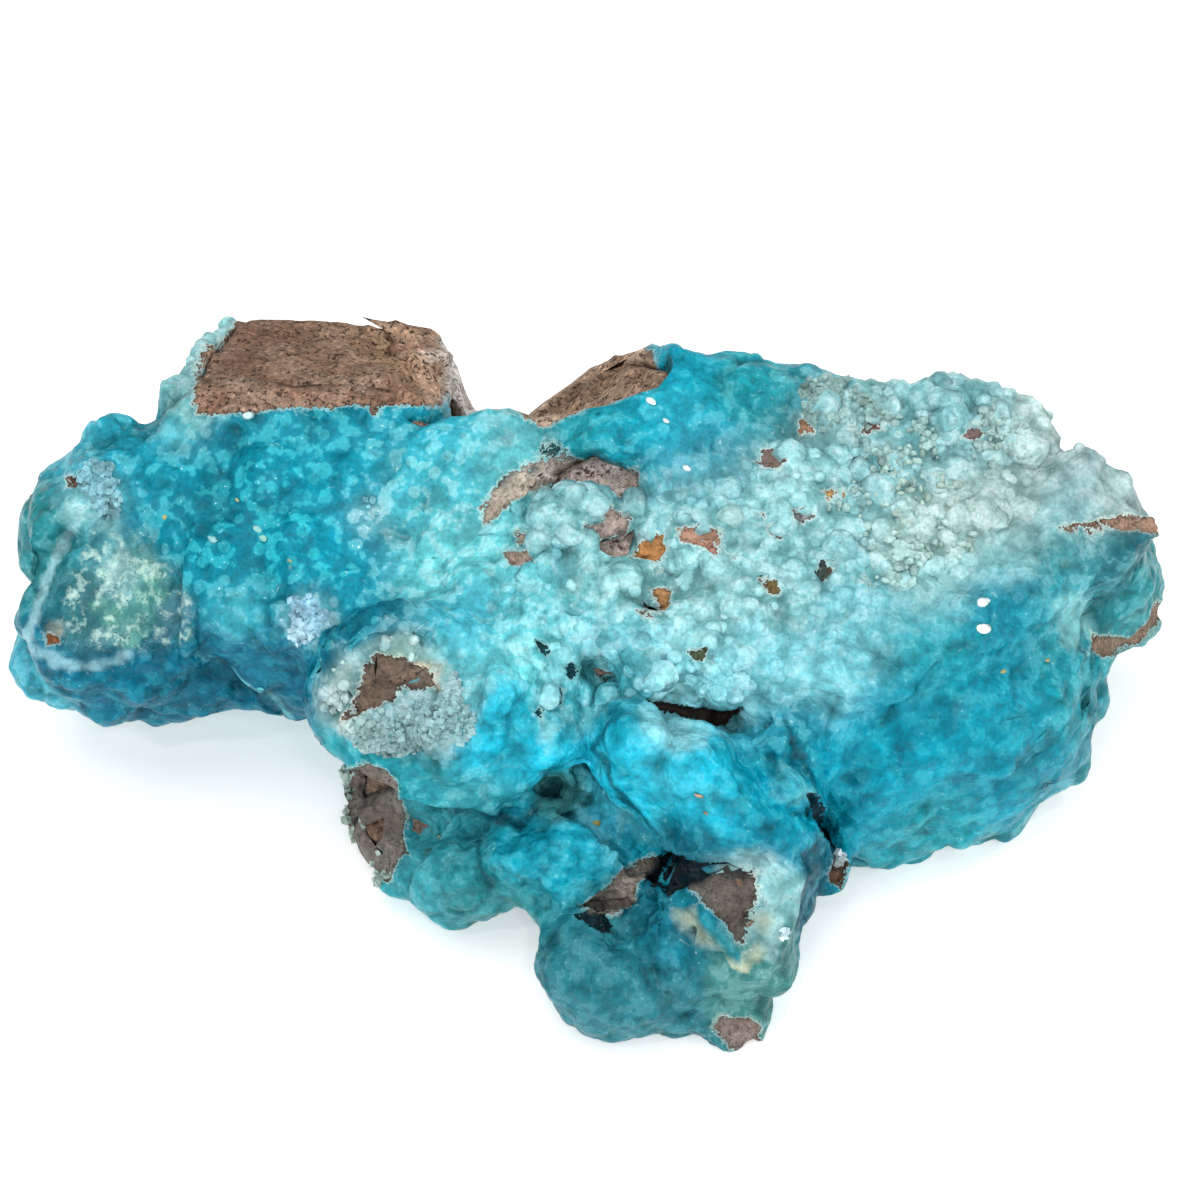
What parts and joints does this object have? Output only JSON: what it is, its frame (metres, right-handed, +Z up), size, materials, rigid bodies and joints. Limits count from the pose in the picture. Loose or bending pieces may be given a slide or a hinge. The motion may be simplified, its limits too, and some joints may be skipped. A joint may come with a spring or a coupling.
{
  "type": "smithsonite mineral specimen",
  "caption": "Botryoidal blue-green smithsonite crust on a broken block of brown host rock, a hand-sized mineral specimen that lies on its flat underside.",
  "frame": {"origin": "middle of the bounding box's footprint, on the plane the specimen stands on", "axes": "+X along the specimen's length, to the end with the pale plateau; +Z up from the flat underside; -Y towards the side with the knobs and the foot"},
  "size_m": [0.1502, 0.0964, 0.0504],
  "materials": {
    "matrix": "rough broken limonitic rock, brown-grey and speckled",
    "smithsonite_crust": "smooth, waxy to glassy botryoidal skin, deep teal to pale sea-green"
  },
  "bodies": {
    "root": {"matrix": "matrix", "smithsonite_crust": "smithsonite_crust"}
  },
  "joints": []
}
